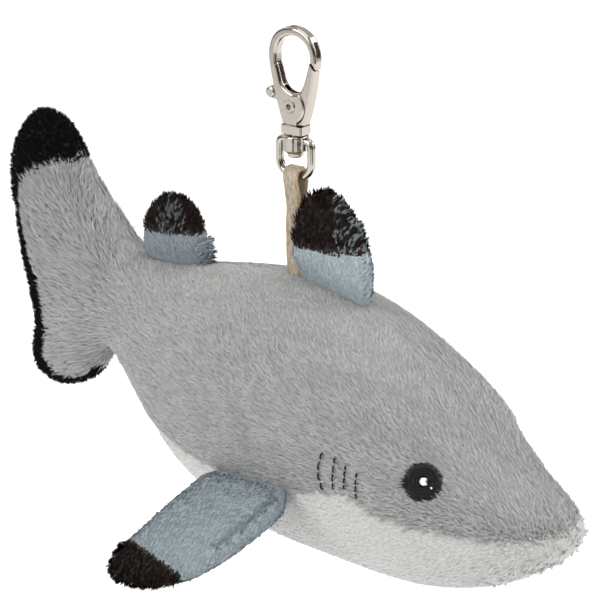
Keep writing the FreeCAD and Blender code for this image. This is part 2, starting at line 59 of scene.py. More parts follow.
# Trunk: x, half width, crest z, belly z.
TRUNK = [
    (-64.0, 4.6, -62.0, -82.0),
    (-58.5, 6.6, -60.4, -86.0),
    (-49.5, 10.0, -60.6, -95.4),
    (-38.5, 15.5, -60.2, -105.8),
    (-26.5, 21.0, -58.5, -114.0),
    (-12.5, 26.0, -56.7, -119.6),
    (3.5, 29.4, -56.0, -122.9),
    (21.5, 30.4, -60.2, -124.2),
    (39.5, 28.9, -69.5, -125.2),
    (49.0, 27.6, -76.6, -124.9),
    (55.5, 25.4, -83.3, -124.0),
    (62.0, 21.9, -90.0, -122.4),
    (69.0, 19.2, -95.4, -119.8),
    (77.5, 14.2, -100.2, -115.0),
    (82.8, 7.8, -102.8, -111.0),
    (85.2, 2.4, -104.9, -108.4),
]
# Seam between back and belly: x and z.
SEAM = [(-100, -100.4), (-30, -100.8), (0, -101.6), (20, -101.6), (30, -98.2), (38, -97.4), (46, -100.6),
        (54, -102.2), (62, -103.8), (70, -105.0), (77, -104.9), (84, -104.2), (100, -104.0)]
# Tail seen from the side, from the front of its tip over the rear edge to the crotch and inside the trunk.
TAIL_EDGE = [(-78.5, -26.4), (-84.4, -26.3), (-89.7, -30.4), (-94.0, -37.4), (-95.8, -45.0), (-94.8, -54.5),
             (-92.3, -67.4), (-89.2, -79.4), (-87.4, -85.2), (-88.8, -91.5), (-88.2, -97.2), (-84.2, -101.1),
             (-76.2, -102.0), (-67.6, -98.6), (-62.4, -93.4), (-58.0, -88.4), (-51.0, -88.0), (-42.0, -80.0),
             (-42.0, -70.0), (-47.0, -60.5), (-52.4, -56.6), (-58.0, -50.5), (-64.1, -43.7), (-69.3, -35.9),
             (-73.6, -30.2)]
TAIL_THICK = [(-96, 2.6), (-85, 4.2), (-73, 5.0), (-61, 6.2), (-55, 7.6), (-48, 9.6), (-40, 9.6)]
TAIL_ROUND = 9.0         # from the edge to where the tail is at its thickest
NAP_INSET = 0.9          # the cover lies this far inside the outline of the nap
EASE = 0.45              # the stuffed trunk stands this far outside its sewn size
TIP_LINE = [(-99, -60.0), (-91.5, -53.5), (-87.0, -46.0), (-81.0, -42.0), (-74.0, -39.4), (-66.5, -37.8)]
# Width of the tail's black band, by height and by length; the smaller counts.
BAND_WIDTH = [(-90, 15.5), (-82, 14.0), (-76, 9.5), (-69, 6.0), (-63, 5.0), (-57, 4.4), (-50, 5.0)]
BAND_UNDER = [(-86, 14.0), (-80, 7.0), (-76, 3.6), (-71, 1.9), (-66, 1.3), (-60, 0.4)]
EYES = {-1: (54.8, -92.5), 1: (52.8, -95.4)}    # the left one is sewn a little lower and deeper
EYE_R = 4.8
EYE_STITCHES = 84
TRUNK_END = -54          # behind here the seam between back and belly and the crest seam have run out
TAIL_START = -58         # behind here the tail's own seams begin
TAPE_HALF_WIDE = 2.25
TAPE_HALF_THICK = 0.6
BESIDE = 80.0            # stands clear of the toy's side, where rays at its covers start
ROUND = 2 * math.pi
SIM_STEPS = 20           # steps of cloth simulation for each stuffed cover


# ---------------- materials
def material(name, colour, roughness=0.85, sheen=0.0, metallic=0.0):
    """A material and its shader; colour is linear."""
    made = bpy.data.materials.new(name)
    made.use_nodes = True
    shader = made.node_tree.nodes["Principled BSDF"]
    shader.inputs["Base Color"].default_value = (*colour, 1.0)
    shader.inputs["Roughness"].default_value = roughness
    shader.inputs["Metallic"].default_value = metallic
    shader.inputs["Sheen Weight"].default_value = sheen
    made.diffuse_color = (*colour, 1.0)
    return made, shader


def add_node(made, kind, values=None, **settings):
    """A shader node, its settings, and the values of its unlinked inputs."""
    node = made.node_tree.nodes.new("ShaderNode" + kind)
    for key, value in settings.items():
        setattr(node, key, value)
    for key, value in (values or {}).items():
        node.inputs[key].default_value = value
    return node


def join(made, source, output, target, entry):
    made.node_tree.links.new(source.outputs[output], target.inputs[entry])


def add_noise(made, scale, detail=3.0):
    """Noise over the object's own coordinates."""
    place = add_node(made, "TexCoord")
    noise = add_node(made, "TexNoise", {"Scale": scale, "Detail": detail})
    join(made, place, "Object", noise, "Vector")
    return noise


def rough_by(made, shader, noise, low, high):
    """Roughness that varies with the noise."""
    spread = add_node(made, "MapRange", {"To Min": low, "To Max": high})
    join(made, noise, "Fac", spread, "Value")
    join(made, spread, "Result", shader, "Roughness")


def bump_by(made, shader, noise, strength, depth_mm):
    """Fine relief that follows the noise."""
    bump = add_node(made, "Bump", {"Strength": strength, "Distance": depth_mm * MM})
    join(made, noise, "Fac", bump, "Height")
    join(made, bump, "Normal", shader, "Normal")


def colour_by(made, shader, noise, dark, light):
    """Base colour between two shades."""
    mix = add_node(made, "Mix", data_type="RGBA")
    mix.inputs["A"].default_value = (*dark, 1.0)
    mix.inputs["B"].default_value = (*light, 1.0)
    join(made, noise, "Fac", mix, "Factor")
    join(made, mix, "Result", shader, "Base Color")


def shade(colour, factor):
    return tuple(min(1.0, c * factor) for c in colour)


def cover_material(name, colour):
    """Backing cloth with the root of its pile: mottled and matt."""
    made, shader = material(name, colour, 0.95)
    noise = add_noise(made, 700, 4)
    colour_by(made, shader, noise, shade(colour, 0.75), shade(colour, 1.1))
    bump_by(made, shader, noise, strength=0.6, depth_mm=0.3)
    return made


def nap_materials(name, colour, spread=0.14, count=4, sheen=0.15):
    """A few near shades of one pile; each strand takes one of them."""
    made = []
    for i in range(count):
        factor = 1 + spread * (2 * i / (count - 1) - 1)
        nap, shader = material("%s_%d" % (name, i), shade(colour, factor), 0.8, sheen=sheen)
        shader.inputs["Sheen Roughness"].default_value = 0.5
        shader.inputs["Specular IOR Level"].default_value = 0.06
        rough_by(nap, shader, add_noise(nap, 900), 0.7, 0.95)
        made.append(nap)
    return made


GREY = (0.281, 0.281, 0.276)
WHITE = (0.405, 0.402, 0.392)
# The fins are one blue-grey cloth set at three brightnesses. The first dorsal's lighter blue is painted
# light. The darker blues of the pectorals and the second dorsal are painted shade.
PECTORAL_BLUE = (0.237, 0.283, 0.306)
DORSAL_BLUE = (0.318, 0.374, 0.397)
SECOND_BLUE = (0.206, 0.235, 0.257)
DARK = (0.0106, 0.0067, 0.0053)
BLACK = (0.0016, 0.0013, 0.0018)


# ---------------- mesh helpers
def smooth_rows(rows, per_span, closed=False):
    """Points on a smooth curve through the given rows."""
    rows = np.array(rows, float)
    count = len(rows)
    t = np.arange(per_span)[:, None] / per_span
    out = []
    for i in range(count if closed else count - 1):
        picks = [(i + k) % count if closed else min(max(i + k, 0), count - 1) for k in (-1, 0, 1, 2)]
        a, b, c, d = rows[picks]
        out.append(0.5 * (2 * b + (c - a) * t + (2 * a - 5 * b + 4 * c - d) * t ** 2
                          + (3 * b - a - 3 * c + d) * t ** 3))
    if not closed:
        out.append(rows[-1:])
    return np.vstack(out)


def along(pairs, value):
    """A value read off a short list of pairs."""
    pairs = np.array(sorted(pairs), float)
    return np.interp(value, pairs[:, 0], pairs[:, 1])


def rising(value, start, run):
    """0 up to the start and 1 a run later; with a negative run it counts downwards."""
    return np.clip((value - start) / run, 0, 1)


def bell(value, width):
    return np.exp(-(value / width) ** 2)


def unit(vectors):
    return vectors / np.maximum(np.linalg.norm(vectors, axis=-1, keepdims=True), 1e-12)


def placed(name, data):
    """A new object in the scene."""
    made = bpy.data.objects.new(name, data)
    bpy.context.scene.collection.objects.link(made)
    return made


def make_object(name, points_mm, faces, materials=(), smooth=True):
    """A mesh object from points in millimetres."""
    mesh = bpy.data.meshes.new(name)
    mesh.from_pydata((np.asarray(points_mm, float) * MM).tolist(), [], faces)
    mesh.polygons.foreach_set("use_smooth", [smooth] * len(mesh.polygons))
    for item in materials:
        mesh.materials.append(item)
    return placed(name, mesh)


def read(items, attribute, width=3):
    """One attribute of every item, a row each."""
    flat = np.empty(len(items) * width)
    items.foreach_get(attribute, flat)
    return flat.reshape(-1, width)


def points_of(obj):
    """An object's points, in millimetres."""
    return read(obj.data.vertices, "co") / MM


def set_points(obj, points_mm):
    obj.data.vertices.foreach_set("co", (points_mm * MM).ravel())
    obj.data.update()


def loft(rings):
    """Points and faces of a closed body through rings of equal count."""
    count = len(rings[0])
    faces = []
    for r in range(len(rings) - 1):
        for i in range(count):
            j = (i + 1) % count
            faces.append((r * count + i, r * count + j, (r + 1) * count + j, (r + 1) * count + i))
    last = (len(rings) - 1) * count
    faces.append(tuple(range(count - 1, -1, -1)))
    faces.append(tuple(range(last, last + count)))
    return np.vstack(rings), faces


def baked(obj):
    """The object with its modifiers applied."""
    depsgraph = bpy.context.evaluated_depsgraph_get()
    mesh = bpy.data.meshes.new_from_object(obj.evaluated_get(depsgraph))
    old = obj.data
    obj.modifiers.clear()
    obj.data = mesh
    bpy.data.meshes.remove(old)
    return obj


def remeshed(obj, voxel_mm):
    """One even skin over everything in the object."""
    step = obj.modifiers.new("skin", "REMESH")
    step.mode = "VOXEL"
    step.voxel_size = voxel_mm * MM
    step.use_smooth_shade = True
    return baked(obj)


def subdivided(obj):
    step = obj.modifiers.new("fine", "SUBSURF")
    step.levels = 1
    step.render_levels = 1
    return baked(obj)


def relaxed(obj, times, amount=0.5):
    """Even out the skin."""
    points = points_of(obj)
    edges = np.empty(len(obj.data.edges) * 2, dtype=int)
    obj.data.edges.foreach_get("vertices", edges)
    a, b = edges.reshape(-1, 2).T
    degree = np.bincount(np.concatenate([a, b]), minlength=len(points))[:, None]
    for _ in range(times):
        total = np.zeros_like(points)
        np.add.at(total, a, points[b])
        np.add.at(total, b, points[a])
        points = points + amount * (total / degree - points)
    set_points(obj, points)
    return obj


def puffed(obj, sewn, pressure, cap_mm):
    """Swell a closed cover by cloth simulation, with its sewn points held and no point moved past the cap."""
    bigger = 10.0        # the cloth is simulated at ten times its size, where the solver is steady
    start = points_of(obj)
    set_points(obj, start * bigger)
    held = obj.vertex_groups.new(name="sewn")
    held.add(np.flatnonzero(sewn).tolist(), 1.0, "REPLACE")
    cloth = obj.modifiers.new("stuffing", "CLOTH")
    stuffing = {
        "quality": 4, "mass": 0.2, "tension_stiffness": 18, "compression_stiffness": 18, "shear_stiffness": 8,
        "bending_stiffness": 1.5, "vertex_group_mass": "sewn", "use_pressure": True,
        "uniform_pressure_force": pressure,
    }
    for key, value in stuffing.items():
        setattr(cloth.settings, key, value)
    cloth.settings.effector_weights.gravity = 0
    cloth.point_cache.frame_start = 1
    cloth.point_cache.frame_end = SIM_STEPS
    scene = bpy.context.scene
    for frame_number in range(1, SIM_STEPS + 1):
        scene.frame_set(frame_number)
    baked(obj)
    scene.frame_set(1)
    obj.vertex_groups.clear()
    move = points_of(obj) / bigger - start
    size = np.linalg.norm(move, axis=1, keepdims=True)
    set_points(obj, start + move * np.minimum(1.0, cap_mm / np.maximum(size, 1e-9)))
    return obj


def normals_of(obj):
    return read(obj.data.vertices, "normal")


def face_data(obj):
    """Centres in millimetres, normals and areas in square millimetres."""
    faces = obj.data.polygons
    return read(faces, "center") / MM, read(faces, "normal"), read(faces, "area", 1).ravel() / MM ** 2


def split_cover(obj, region, parts):
    """Cut a cover into one object per region number; parts maps the number to a name and material."""
    corners = [tuple(face.vertices) for face in obj.data.polygons]
    points = points_of(obj)
    made = {}
    for number, (name, cover) in parts.items():
        chosen = [corners[i] for i in np.flatnonzero(region == number)]
        used = sorted({v for face in chosen for v in face})
        where = {v: i for i, v in enumerate(used)}
        made[name] = make_object(name, points[used], [tuple(where[v] for v in f) for f in chosen], [cover])
    bpy.data.objects.remove(obj)
    return made


# ---------------- nap
def plant(name, roots, normals, flow, materials, shade_index, length=2.4, lift=24.0, radius=0.42, strands=5,
          width=0.28, wander=11.0, gather=0.6, soft=0.5):
    """A tuft of short strands on every root.  Each strand is two faces that bend at its widest point.

    flow is the way the pile lies, lift its angle off the cover, radius the tuft's, wander the tufts' scatter
    in degrees, gather how far a tuft's tips draw together, and soft how far its shading rounds off sideways.
    length, lift and radius may differ by tuft.
    """
    count = len(roots)
    length, lift, radius = (np.broadcast_to(np.asarray(v, float), (count,)) for v in (length, lift, radius))
    along_tuft = unit(flow - normals * np.sum(flow * normals, axis=1, keepdims=True))
    across = np.cross(normals, along_tuft)
    turn = np.radians(rng.normal(0, wander, count))[:, None]
    lie = along_tuft * np.cos(turn) + across * np.sin(turn)
    side = np.cross(normals, lie)
    rise = np.radians(lift * (1 + rng.normal(0, 0.22, count)))
    reach = length * rng.uniform(0.8, 1.15, count)

    def spread(values):
        return np.repeat(values, strands, axis=0)

    total = count * strands
    n, lie, side, roots = spread(normals), spread(lie), spread(side), spread(roots)
    rise = spread(rise) * (1 + rng.normal(0, 0.28, total))
    reach = spread(reach) * rng.uniform(0.75, 1.1, total)
    distance = spread(radius) * np.sqrt(rng.uniform(0, 1, total))
    bearing = rng.uniform(0, ROUND, total)
    forward = (distance * np.cos(bearing))[:, None]
    sideways = (distance * np.sin(bearing))[:, None]
    yaw = np.radians(rng.normal(0, 7, total))[:, None]
    own = lie * np.cos(yaw) + side * np.sin(yaw)
    own_side = np.cross(n, own)
    reach = reach[:, None]
    steep = np.minimum(rise * 1.5, 1.4)[:, None]
    flat = rise[:, None] * 0.75
    root = roots + lie * forward + side * sideways - n * 0.15
    middle = root + own * np.cos(steep) * reach * 0.45 + n * np.sin(steep) * reach * 0.45
    middle = middle - side * sideways * gather * 0.45
    tip = middle + own * np.cos(flat) * reach * 0.55 + n * np.sin(flat) * reach * 0.55 * 0.8
    tip = tip - side * sideways * gather * 0.55
    half = own_side * (width / 2 * rng.uniform(0.7, 1.2, total))[:, None]
    points = np.stack([root, middle + half, middle - half, tip], axis=1).reshape(-1, 3)
    first = np.arange(total) * 4
    corners = np.stack([first, first + 2, first + 1, first + 1, first + 2, first + 3], axis=1).ravel()
    mesh = bpy.data.meshes.new(name)
    mesh.vertices.add(len(points))
    mesh.vertices.foreach_set("co", (points * MM).ravel())
    mesh.loops.add(len(corners))
    mesh.loops.foreach_set("vertex_index", corners.astype(np.int32))
    mesh.polygons.add(total * 2)
    mesh.polygons.foreach_set("loop_start", np.arange(total * 2, dtype=np.int32) * 3)
    mesh.polygons.foreach_set("material_index", np.repeat(spread(shade_index), 2).astype(np.int32))
    mesh.polygons.foreach_set("use_smooth", np.ones(total * 2, dtype=bool))
    mesh.update(calc_edges=True)
    round_off = unit(n + side * (sideways / spread(radius)[:, None]) * soft + rng.normal(0, 0.07, (total, 3)))
    mesh.normals_split_custom_set_from_vertices(np.repeat(round_off, 4, axis=0))
    for item in materials:
        mesh.materials.append(item)
    return placed(name, mesh)


def tuft_places(cover, density):
    """Evenly scattered places on a cover, so many to the square millimetre, and its normals there."""
    centres, normals, areas = face_data(cover)
    repeats = np.floor(areas * density + rng.uniform(0, 1, len(areas))).astype(int)
    picks = np.repeat(np.arange(len(centres)), repeats)
    jitter = rng.normal(0, 0.28, (len(picks), 3))
    n = normals[picks]
    jitter -= n * np.sum(jitter * n, axis=1, keepdims=True)
    return centres[picks] + jitter, n


def drift(points, scale_mm, seed):
    """Slow waves over space from -1 to 1, to vary shade and direction from place to place."""
    waves = np.random.default_rng(seed)
    total = np.zeros(len(points))
    for _ in range(6):
        way = unit(waves.normal(0, 1, 3))
        pitch = scale_mm * waves.uniform(0.6, 1.6)
        total += np.sin(points @ way * (ROUND / pitch) + waves.uniform(0, 6.3))
    return total / 3.5


def pick_shades(points, count, seed, scale_mm=6.0):
    """A shade for each tuft: mostly chance, partly the place."""
    level = 0.5 + 0.22 * drift(points, scale_mm, seed) + rng.normal(0, 0.22, len(points))
    return np.clip((level * count).astype(int), 0, count - 1)


# ---------------- trunk and tail
def trunk_rings():
    angles = np.linspace(0, ROUND, 72, endpoint=False)
    rings = []
    for x, half, crest, belly in smooth_rows(TRUNK, 4):
        half, crest, belly = half + EASE, crest + EASE, belly - EASE
        middle = belly + WIDEST * (crest - belly)
        height = np.sin(angles)
        height = np.where(height > 0, height * (crest - middle), height * (middle - belly))
        rings.append(np.stack([np.full(72, x), half * np.cos(angles), middle + height], axis=1))
    return rings


def edge_distance(points, outline):
    """Distance inside a closed outline (negative outside), and the nearest point on it."""
    a = outline
    b = np.roll(outline, -1, axis=0)
    run = b - a
    offset = points[:, None, :] - a[None]
    share = np.clip(np.sum(offset * run, axis=2) / np.sum(run * run, axis=1), 0, 1)
    nearest = a[None] + share[..., None] * run
    gap = np.linalg.norm(points[:, None, :] - nearest, axis=2)
    best = np.argmin(gap, axis=1)
    rows = np.arange(len(points))
    crosses = ((a[None, :, 1] > points[:, None, 1]) != (b[None, :, 1] > points[:, None, 1]))
    slope = run[:, 0] / np.where(np.abs(run[:, 1]) < 1e-9, 1e-9, run[:, 1])
    left = points[:, None, 0] < a[None, :, 0] + (points[:, None, 1] - a[None, :, 1]) * slope
    inside = np.sum(crosses & left, axis=1) % 2 == 1
    return np.where(inside, gap[rows, best], -gap[rows, best]), nearest[rows, best]


def tail_outline():
    """The tail's outline as sewn, inside its nap."""
    outline = smooth_rows(TAIL_EDGE, 6, closed=True)
    ahead = np.roll(outline, -1, axis=0) - np.roll(outline, 1, axis=0)
    inward = unit(np.stack([-ahead[:, 1], ahead[:, 0]], axis=1))
    return outline + inward * NAP_INSET


def tail_pillow():
    """Points and faces of the tail: two sheets that meet at its outline."""
    outline = tail_outline()
    step = 1.0
    xs = np.arange(-98, -38, step)
    zs = np.arange(-104, -22, step)
    grid = np.stack(np.meshgrid(xs, zs, indexing="ij"), axis=-1).reshape(-1, 2)
    depth, nearest = edge_distance(grid, outline)
    flat = np.where(depth[:, None] < 0, nearest, grid)
    share = rising(depth, 0, TAIL_ROUND)
    thick = along(TAIL_THICK, grid[:, 0]) * np.sqrt(1 - (1 - share) ** 2)
    rows, columns = len(xs), len(zs)
    near = (depth > -step * 1.2).reshape(rows, columns)
    front, back = [], []
    for i in range(rows - 1):
        for j in range(columns - 1):
            if near[i:i + 2, j:j + 2].all():
                here, beyond = i * columns + j, (i + 1) * columns + j
                corner = (here, beyond, beyond + 1, here + 1)
                front.append(corner)
                back.append(tuple(v + len(grid) for v in reversed(corner)))
    right = np.stack([flat[:, 0], -thick, flat[:, 1]], axis=1)
    left = np.stack([flat[:, 0], thick, flat[:, 1]], axis=1)
    return np.vstack([right, left]), front + back


def merged(obj, distance_mm):
    step = obj.modifiers.new("weld", "WELD")
    step.merge_threshold = distance_mm * MM
    return baked(obj)


def seam_gap(points):
    """Height above the seam between back and belly."""
    return points[:, 2] - along(SEAM, points[:, 0])


def tail_gaps(points):
    """Height above the line where the tail turns black, and depth inside its outline."""
    outline = tail_outline()
    depth, _ = edge_distance(points[:, [0, 2]], outline)
    return points[:, 2] - along(TIP_LINE, points[:, 0]), depth


def band_width(points):
    """Width of the black band, by place along the tail's edge."""
    return np.minimum(along(BAND_WIDTH, points[:, 2]), along(BAND_UNDER, points[:, 0]))


def body_region(points):
    """0 grey back, 1 white belly, 2 black tail tip, 3 black band on the tail's rear and lower edge."""
    x, z = points[:, 0], points[:, 2]
    above, depth = tail_gaps(points)
    region = np.where(seam_gap(points) < 0, 1, 0)
    tail = (x < -56) | ((x < -50) & (z > -58))
    region = np.where(tail, 0, region)
    rear = (x < -86) | ((z < -85) & (x < -64))
    rear = rear | ((x < -80) & (z < -55))
    region = np.where(tail & rear & (depth < band_width(points)), 3, region)
    return np.where(tail & (above > 0), 2, region)


def from_eye(points, side):
    return np.hypot(points[:, 0] - EYES[side][0], points[:, 2] - EYES[side][1])


def creased(obj):
    """Draw the cover in along its seams."""
    points = points_of(obj)
    normals = normals_of(obj)
    trunk = points[:, 0] > TRUNK_END
    gap = np.abs(seam_gap(points))
    pull = np.where(trunk, 0.75 * bell(gap, 1.1), 0)
    crest = trunk & (points[:, 2] > -90) & (normals[:, 2] > 0.3)
    pull = np.maximum(pull, np.where(crest, 0.35 * bell(points[:, 1], 0.9), 0))
    above, _ = tail_gaps(points)
    tail = points[:, 0] < TAIL_START
    pull = np.maximum(pull, np.where(tail, 0.35 * bell(above, 0.9), 0))
    for side, sunk, wide in ((-1, 0.7, 0.9), (1, 2.2, 1.1)):
        dimple = sunk * np.exp(-(from_eye(points, side) / (wide * EYE_R)) ** 4)
        pull = np.maximum(pull, np.where(points[:, 1] * side > 0, dimple, 0))
    set_points(obj, points - normals * pull[:, None])
    return obj


def body_cover():
    """One stuffed skin over trunk and tail, sewn along its seams."""
    trunk_points, trunk_faces = loft(trunk_rings())
    tail = make_object("tail", *tail_pillow())
    merged(tail, distance_mm=0.05)
    shift = len(trunk_points)
    tail_faces = [tuple(v + shift for v in face.vertices) for face in tail.data.polygons]
    both = np.vstack([trunk_points, points_of(tail)])
    body = make_object("body", both, trunk_faces + tail_faces)
    bpy.data.objects.remove(tail)
    remeshed(body, voxel_mm=1.4)
    relaxed(body, times=4)
    points = points_of(body)
    sewn = (np.abs(seam_gap(points)) < 0.8) & (points[:, 0] > TRUNK_END)
    above, depth = tail_gaps(points)
    sewn |= (points[:, 0] < TAIL_START) & ((np.abs(above) < 0.8) | (depth < 0.8))
    puffed(body, sewn, pressure=3.0, cap_mm=0.8)
    relaxed(body, times=1)
    creased(body)
    return subdivided(body)


def trunk_at(x):
    """The trunk's half width, crest and belly at x."""
    xs, half, crest, belly = np.array(TRUNK).T
    return np.interp(x, xs, half), np.interp(x, xs, crest), np.interp(x, xs, belly)


def from_lead(x, z):
    """Distance from the line of the tail's leading edge."""
    return np.abs((x + 50) * 0.74 + (z + 57.4) * 0.67)


def body_flow(points, normals):
    """The way the pile lies: tailward, up the right side, level on the left, and swept back on the tail."""
    x, y, z = points.T
    _, crest, belly = trunk_at(x)
    height = rising(z, belly, crest - belly)
    head = rising(x, 25, 30)
    climb = (0.05 + 0.85 * height ** 2) * (1 - 0.75 * head)
    climb = climb * (1 - 0.85 * rising(y, 0, 2))
    climb = np.where(seam_gap(points) < 0, -0.15, climb)
    side = -np.clip(y / 1.5, -1, 1)
    up = np.stack([np.zeros(len(x)), side * normals[:, 2], -side * normals[:, 1]], axis=1)
    trunk = np.array((-1.0, 0.0, 0.0)) + up * climb[:, None]
    near_lead = np.clip(1 - from_lead(x, z) / 11, 0, 1) * (z > -64)
    lift = np.clip((z + 86) / 26, -0.4, 1.1)
    near_lead = near_lead * rising(y, -0.5, -2)
    tail = np.stack([-0.8 + 1.3 * near_lead, np.zeros(len(x)), lift + 0.4 * near_lead], axis=1)
    share = rising(x, -46, -14)[:, None]
    return unit(trunk) * (1 - share) + unit(tail) * share


def edge_on(points):
    """1 where the cover turns over from one side to the other, so the pile has to lie flat, 0 elsewhere."""
    x, y, z = points.T
    half, crest, _ = trunk_at(x)
    over = np.clip(1.15 - np.abs(y) / half, 0, 1) * np.clip(1 - (crest - z) / 25, 0, 1)
    lead = np.clip(1 - from_lead(x, z) / 6, 0, 1) * (z > -60)
    return np.clip(np.where(x > -46, 1.6 * over, 1.4 * lead), 0, 1)


def grey_nap(roots, normals, flow, shades, tail):
    """Grey pile in four pieces. It stands up along the snout's seam and is short beside the black band."""
    naps = nap_materials("grey_nap", GREY, 0.13)
    depth = np.where(tail > 0, tail_gaps(roots)[1] - band_width(roots), 9.0)
    near_band = np.clip(1 - depth / 2.5, 0, 1) * (roots[:, 0] < -78)
    length = 2.1 + 0.7 * tail - 1.2 * near_band
    low = rising(roots[:, 2], -72, -25) * rising(roots[:, 0], 30, -30)
    head = rising(roots[:, 0], 25, 25)
    lift = (20 + 5 * tail + 10 * near_band - 7 * low + 6 * head) * (1 - 0.62 * edge_on(roots))
    lip = rising(roots[:, 0], 50, 20) * bell(seam_gap(roots), 4.0)
    lift = lift + 18 * lip * (roots[:, 1] < 0)
    flow = flow + 0.5 * lip[:, None] * rng.normal(0, 1, roots.shape)
    made = {}
    for side, sign in (("right", -1), ("left", 1)):
        on_side = (roots[:, 1] * sign > 0) & (from_eye(roots, sign) > EYE_R * 0.85)
        for part, in_part in (("trunk", tail < 0.5), ("tail", tail >= 0.5)):
            keep = on_side & in_part
            label = "grey_nap_%s_%s" % (part, side)
            made[label] = plant(
                label, roots[keep], normals[keep], flow[keep], naps, shades[keep],
                length=length[keep], lift=lift[keep], strands=4, width=0.26, radius=0.36)
    return made


def white_nap(roots, normals, flow, shades):
    """Short white pile, with stray clumps under the chin."""
    chin = rising(roots[:, 0], 58, 18)
    stray = chin * (rng.uniform(0, 1, len(roots)) < 0.10)
    flow = flow + 0.2 * chin[:, None] * rng.normal(0, 1, roots.shape)
    naps = nap_materials("white_nap", WHITE, 0.012)
    return {"belly_nap": plant(
        "belly_nap", roots, normals, flow, naps, shades, length=1.3 + 0.7 * stray,
        lift=12 + 24 * stray, strands=4, wander=14, width=0.42, radius=0.45, soft=0.05)}


def body_nap(covers):
    """The nap of every region of trunk and tail."""
    made = {}
    for name, cover in covers.items():
        roots, normals = tuft_places(cover, density=2.4)
        flow = body_flow(roots, normals)
        flow = flow + 0.15 * np.stack([drift(roots, scale_mm=30, seed=s) for s in (1, 2, 3)], axis=1)
        shades = pick_shades(roots, count=4, seed=5)
        if name == "grey_cover":
            tail = rising(roots[:, 0], -50, -10)
            made.update(grey_nap(roots, normals, flow, shades, tail))
        elif name == "white_cover":
            made.update(white_nap(roots, normals, flow, shades))
        else:
            label = name.replace("cover", "nap")
            naps = nap_materials(label, BLACK, 0.5, sheen=0.0)
            made[label] = plant(label, roots, normals, flow, naps, shades, length=1.9, lift=46, wander=45)
    return made


# ---------------- fins
PECTORAL = [
    (-2.6, 0.8, 12.8, 1.2),
    (0.0, 1.4, 14.2, 1.8),
    (3.0, 2.3, 15.4, 3.2),
    (8.0, 3.0, 15.8, 4.0),
    (16.0, 3.1, 15.6, 4.3),
    (25.0, 2.9, 15.0, 4.0),
    (33.0, 1.9, 13.5, 3.4),
    (37.5, 0.7, 11.0, 2.6),
    (40.5, -0.4, 7.4, 1.5),
    (41.8, -0.9, 3.0, 0.6),
]
PECTORAL_REAR = np.array((-6.5, -28.1, -101.9))
PECTORAL_FRONT = np.array((21.5, -32.0, -100.4))
PECTORAL_OUT = np.array((-8.0, -39.3, -14.6))
FIRST_DORSAL = [
    (-2.6, 0.4, 10.6, 1.6),
    (0.0, 0.2, 11.2, 2.4),
    (3.5, -0.4, 11.4, 3.7),
    (9.0, -1.4, 10.9, 4.1),
    (14.0, -3.0, 9.5, 3.7),
    (18.5, -4.4, 6.9, 2.9),
    (21.3, -6.0, 3.8, 1.6),
    (22.2, -6.3, 1.8, 0.6),
]
SECOND_DORSAL = [
    (-2.6, 0.0, 10.2, 1.4),
    (0.0, 0.0, 10.7, 2.2),
    (3.0, 0.0, 10.7, 3.3),
    (7.0, -0.3, 9.5, 3.7),
    (10.5, -0.3, 7.9, 3.3),
    (13.6, -0.2, 5.3, 2.2),
    (15.4, -0.4, 2.6, 0.7),
]


def fin_frame_pectoral(side):
    """Root middle, outward, forward and up of a pectoral fin; side is -1 for the right."""
    chord = unit(PECTORAL_FRONT - PECTORAL_REAR)
    out = PECTORAL_OUT - chord * (PECTORAL_OUT @ chord)
    out = unit(out)
    up = np.cross(out, chord)
    frame_axes = [(PECTORAL_REAR + PECTORAL_FRONT) / 2, out, chord, up]
    if side > 0:
        frame_axes = [axis * np.array((1, -1, 1)) for axis in frame_axes]
    return frame_axes


def fin_frame_dorsal(root, slope_degrees):
    angle = math.radians(slope_degrees)
    forward = np.array((math.cos(angle), 0, -math.sin(angle)))
    upward = np.array((math.sin(angle), 0, math.cos(angle)))
    return [np.array(root), upward, forward, np.array((0.0, 1.0, 0.0))]


def fin_place(points, axes, table):
    """Distance out, distance up, and place along the chord from -1 at the rear rim to 1 at the front rim."""
    origin, out, chord, up = axes
    local = (points - origin) @ np.stack([out, chord, up], axis=1)
    middle = along([(row[0], row[1]) for row in table], local[:, 0])
    half = along([(row[0], row[2]) for row in table], local[:, 0])
    return local, (local[:, 1] - middle) / np.maximum(half, 1.0), middle, half


def fin_cover(name, axes, table):
    """A stuffed fin with a seam round its rim."""
    origin, out, chord, up = axes
    angles = np.linspace(0, ROUND, 56, endpoint=False)
    rings = []
    for distance, middle, half, thick in smooth_rows(table, 5):
        pinch = 1 - 0.05 * bell(np.sin(angles), 0.16)
        s = half * np.cos(angles) * pinch + middle
        t = thick * np.sign(np.sin(angles)) * np.abs(np.sin(angles)) ** 0.85
        rings.append(origin + out * distance + np.outer(s, chord) + np.outer(t, up))
    fin = make_object(name, *loft(rings))
    remeshed(fin, voxel_mm=0.8)
    relaxed(fin, times=2)
    local, _, _, _ = fin_place(points_of(fin), axes, table)
    sewn = (np.abs(local[:, 2]) < 0.5) | (local[:, 0] < 0.5)
    puffed(fin, sewn, pressure=3.0, cap_mm=0.4)
    return fin


def print_on_cloth(fin, axes, table, style):
    """Dark cloth beyond the printed line, blue-grey cloth before it."""
    fin.data.materials.clear()
    fin.data.materials.append(style["cloth"])
    fin.data.materials.append(style["dark_cloth"])
    local, _, _, _ = fin_place(face_data(fin)[0], axes, table)
    beyond = local[:, 0] - np.polyval(style["dark_from"], local[:, 1])
    fin.data.polygons.foreach_set("material_index", (beyond > 0).astype(np.int32))


def seam_behind(local, front):
    """Distance from the sewn line behind a pectoral's leading edge; far where there is no line."""
    sewn = (local[:, 0] > 1) & (local[:, 0] < 25) & (local[:, 2] > 0)
    return np.where(sewn, local[:, 1] - (front - 3.4 + 0.02 * local[:, 0]), 99.0)


